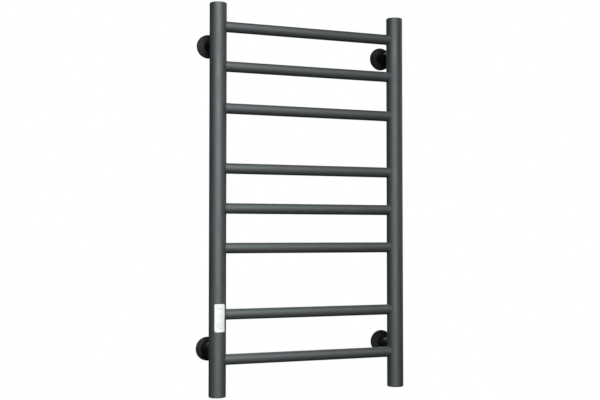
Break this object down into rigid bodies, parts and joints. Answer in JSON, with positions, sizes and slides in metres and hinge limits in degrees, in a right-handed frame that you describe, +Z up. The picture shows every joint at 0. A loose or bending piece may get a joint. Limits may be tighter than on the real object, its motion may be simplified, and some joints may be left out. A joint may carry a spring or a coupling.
{
  "type": "electric towel warmer",
  "caption": "Wall-hung ladder of round steel tubes that warms and dries towels, with a control panel let into one post.",
  "frame": {"origin": "middle of the four wall screws, in the plane of the wall", "axes": "+X to the right of someone facing the wall, +Y into the wall, +Z up"},
  "size_m": [0.5164, 0.101, 0.914],
  "materials": {
    "powder_coat": "anthracite powder coat, fine matte texture",
    "bracket_coat": "near-black powder coat, fine matte texture",
    "white_plastic": "satin white",
    "zinc_steel": "zinc plated",
    "black_steel": "black oxide",
    "black_rubber": "matte",
    "brass": "plain",
    "cable_jacket": "silicone jacket",
    "black_plastic": "moulded",
    "board": "solder mask",
    "terminal_plastic": "moulded",
    "capacitor": "moulded box",
    "ceramic": "ceramic tube",
    "lamp": "lamp lens",
    "clear_plastic": "clear moulding",
    "key_plastic": "satin white, a little greyer than the panel"
  },
  "bodies": {
    "wall_bases": {"wall_base_top_left": "zinc_steel", "wall_base_top_right": "zinc_steel", "wall_base_bottom_left": "zinc_steel", "wall_base_bottom_right": "zinc_steel", "supply_sleeve": "black_rubber"},
    "timer_button": {"timer_key": "key_plastic", "timer_key_plunger": "terminal_plastic"},
    "power_button": {"power_key": "key_plastic", "power_key_plunger": "terminal_plastic"},
    "cover_top_left": {"rosette_top_left": "bracket_coat", "grip_ring_top_left": "black_rubber"},
    "cover_top_right": {"rosette_top_right": "bracket_coat", "grip_ring_top_right": "black_rubber"},
    "cover_bottom_left": {"rosette_bottom_left": "bracket_coat", "grip_ring_bottom_left": "black_rubber"},
    "cover_bottom_right": {"rosette_bottom_right": "bracket_coat", "grip_ring_bottom_right": "black_rubber"},
    "ladder": {"left_post": "powder_coat", "left_post_top_cap": "powder_coat", "left_post_foot_cap": "powder_coat", "right_post": "powder_coat", "right_post_top_cap": "powder_coat", "right_post_foot_cap": "powder_coat", "rung_1": "powder_coat", "rung_2": "powder_coat", "rung_3": "powder_coat", "rung_4": "powder_coat", "rung_5": "powder_coat", "rung_6": "powder_coat", "rung_7": "powder_coat", "rung_8": "powder_coat", "standoff_top_left": "bracket_coat", "standoff_top_right": "bracket_coat", "standoff_bottom_left": "bracket_coat", "standoff_bottom_right": "bracket_coat", "set_screws": "black_steel", "wire_grommet": "black_rubber", "earth_stud": "zinc_steel", "earth_washer": "brass", "earth_nut": "brass", "heating_cable": "cable_jacket", "cable_end_seal": "black_rubber", "control_panel": "white_plastic", "panel_gasket": "black_rubber", "control_housing": "black_plastic", "circuit_board": "board", "terminal_block": "terminal_plastic", "heater_triac": "black_plastic", "supply_capacitor": "capacitor", "board_fuse": "ceramic", "controller_chip": "black_plastic", "tube_sensor": "black_plastic", "indicator_leds": "lamp", "light_pipes": "clear_plastic", "key_switches": "black_plastic"}
  },
  "joints": [
    {"name": "depth_adjust", "type": "slide", "parent": "wall_bases", "child": "ladder", "axis": [0, -1, 0], "range_m": [0, 0.01]},
    {"name": "cover_top_left_slide", "type": "slide", "parent": "wall_bases", "child": "cover_top_left", "axis": [0, -1, 0], "range_m": [0, 0.03]},
    {"name": "cover_top_right_slide", "type": "slide", "parent": "wall_bases", "child": "cover_top_right", "axis": [0, -1, 0], "range_m": [0, 0.03]},
    {"name": "cover_bottom_left_slide", "type": "slide", "parent": "wall_bases", "child": "cover_bottom_left", "axis": [0, -1, 0], "range_m": [0, 0.03]},
    {"name": "cover_bottom_right_slide", "type": "slide", "parent": "wall_bases", "child": "cover_bottom_right", "axis": [0, -1, 0], "range_m": [0, 0.03]},
    {"name": "timer_press", "type": "slide", "parent": "ladder", "child": "timer_button", "axis": [0, 1, 0], "range_m": [0, 0.0005], "stiffness_N_per_m": 3000, "springref_m": -0.0002},
    {"name": "power_press", "type": "slide", "parent": "ladder", "child": "power_button", "axis": [0, 1, 0], "range_m": [0, 0.0005], "stiffness_N_per_m": 3000, "springref_m": -0.0002}
  ]
}
